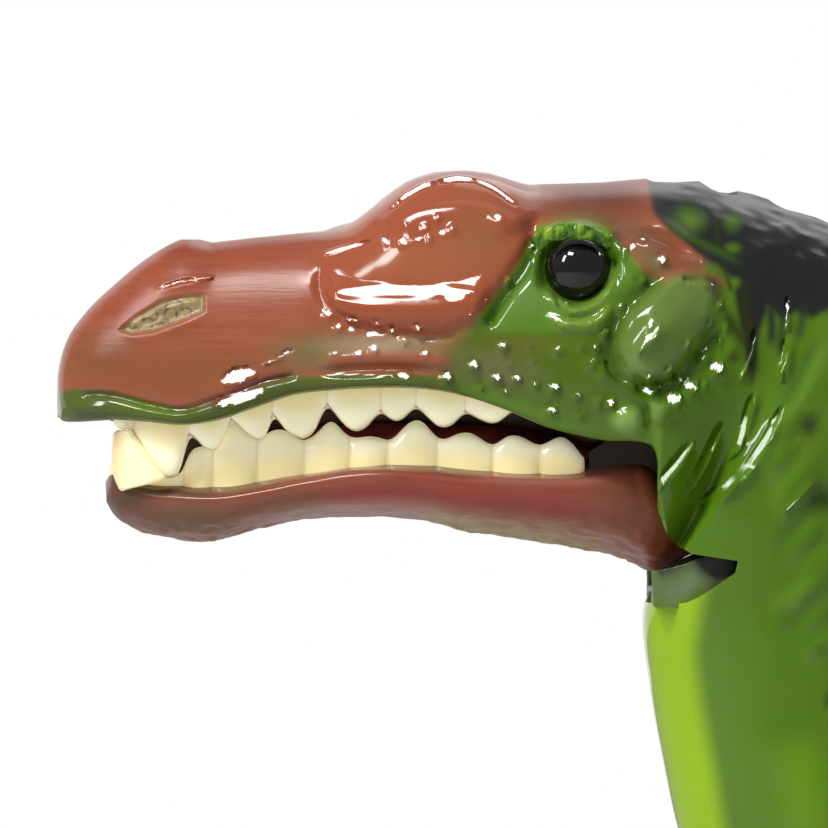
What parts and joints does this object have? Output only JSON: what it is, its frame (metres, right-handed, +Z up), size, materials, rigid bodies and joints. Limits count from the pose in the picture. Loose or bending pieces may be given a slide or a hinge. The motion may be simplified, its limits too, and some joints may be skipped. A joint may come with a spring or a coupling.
{
  "type": "toy dinosaur figure",
  "caption": "Jointed toy dinosaur figure with hollow moulded skin, biting jaw, glossy eyes, swinging arms and legs and a turning tail, standing on flat soles.",
  "frame": {"origin": "on the ground under the middle of the figure's length, half way between the soles", "axes": "-X towards the snout, +X towards the tail tip, -Y to the figure's own left flank, +Z up"},
  "size_m": [0.4367, 0.1068, 0.2395],
  "materials": {
    "skin": "painted, glossy",
    "leg": "painted, glossy",
    "tail": "painted, glossy",
    "jaw": "painted, glossy",
    "tooth": "glossy",
    "mouth": "glossy",
    "eye": "high gloss",
    "throat": "satin",
    "steel": "plain",
    "washer": "plain"
  },
  "bodies": {
    "trunk": {"body_shell_left": "skin", "body_shell_right": "skin", "body_screw_1": "steel", "body_screw_2": "steel", "body_screw_3": "steel", "body_screw_4": "steel", "body_screw_5": "steel", "body_screw_6": "steel", "body_screw_7": "steel", "eye_left": "eye", "eye_right": "eye", "palate": "mouth", "throat_liner": "throat", "jaw_pin": "steel", "upper_teeth": "tooth"},
    "jaw": {"lower_jaw": "jaw", "tongue": "mouth", "lower_teeth": "tooth"},
    "left_arm": {"arm_left": "leg", "shoulder_washer_left": "washer", "shoulder_screw_left": "steel"},
    "left_leg": {"leg_left_inner": "leg", "leg_left_outer": "leg", "leg_screw_left_1": "steel", "leg_screw_left_2": "steel", "hip_washer_left": "washer", "hip_screw_left": "steel", "foot_left": "leg"},
    "right_arm": {"arm_right": "leg", "shoulder_washer_right": "washer", "shoulder_screw_right": "steel"},
    "right_leg": {"leg_right_inner": "leg", "leg_right_outer": "leg", "leg_screw_right_1": "steel", "leg_screw_right_2": "steel", "hip_washer_right": "washer", "hip_screw_right": "steel", "foot_right": "leg"},
    "tail": {"tail_left": "tail", "tail_right": "tail", "tail_screw_1": "steel", "tail_screw_2": "steel", "tail_spool": "washer"}
  },
  "joints": [
    {"name": "jaw_hinge", "type": "hinge", "parent": "trunk", "child": "jaw", "pos_m": [-0.1543, 0, 0.2111], "axis": [0, -1, 0], "range_deg": [0, 24]},
    {"name": "left_shoulder", "type": "hinge", "parent": "trunk", "child": "left_arm", "pos_m": [-0.1107, -0.03, 0.147], "axis": [0, -1, 0], "range_deg": [-50, 60]},
    {"name": "left_hip", "type": "hinge", "parent": "trunk", "child": "left_leg", "pos_m": [-0.0247, -0.038, 0.127], "axis": [0, -1, 0], "range_deg": [-40, 45]},
    {"name": "right_shoulder", "type": "hinge", "parent": "trunk", "child": "right_arm", "pos_m": [-0.1107, 0.03, 0.147], "axis": [0, -1, 0], "range_deg": [-50, 60]},
    {"name": "right_hip", "type": "hinge", "parent": "trunk", "child": "right_leg", "pos_m": [-0.0247, 0.038, 0.127], "axis": [0, -1, 0], "range_deg": [-40, 45]},
    {"name": "tail_turn", "type": "hinge", "parent": "trunk", "child": "tail", "pos_m": [0.0138, 0, 0.1305], "axis": [0.9955, 0, -0.0948], "continuous": true}
  ]
}
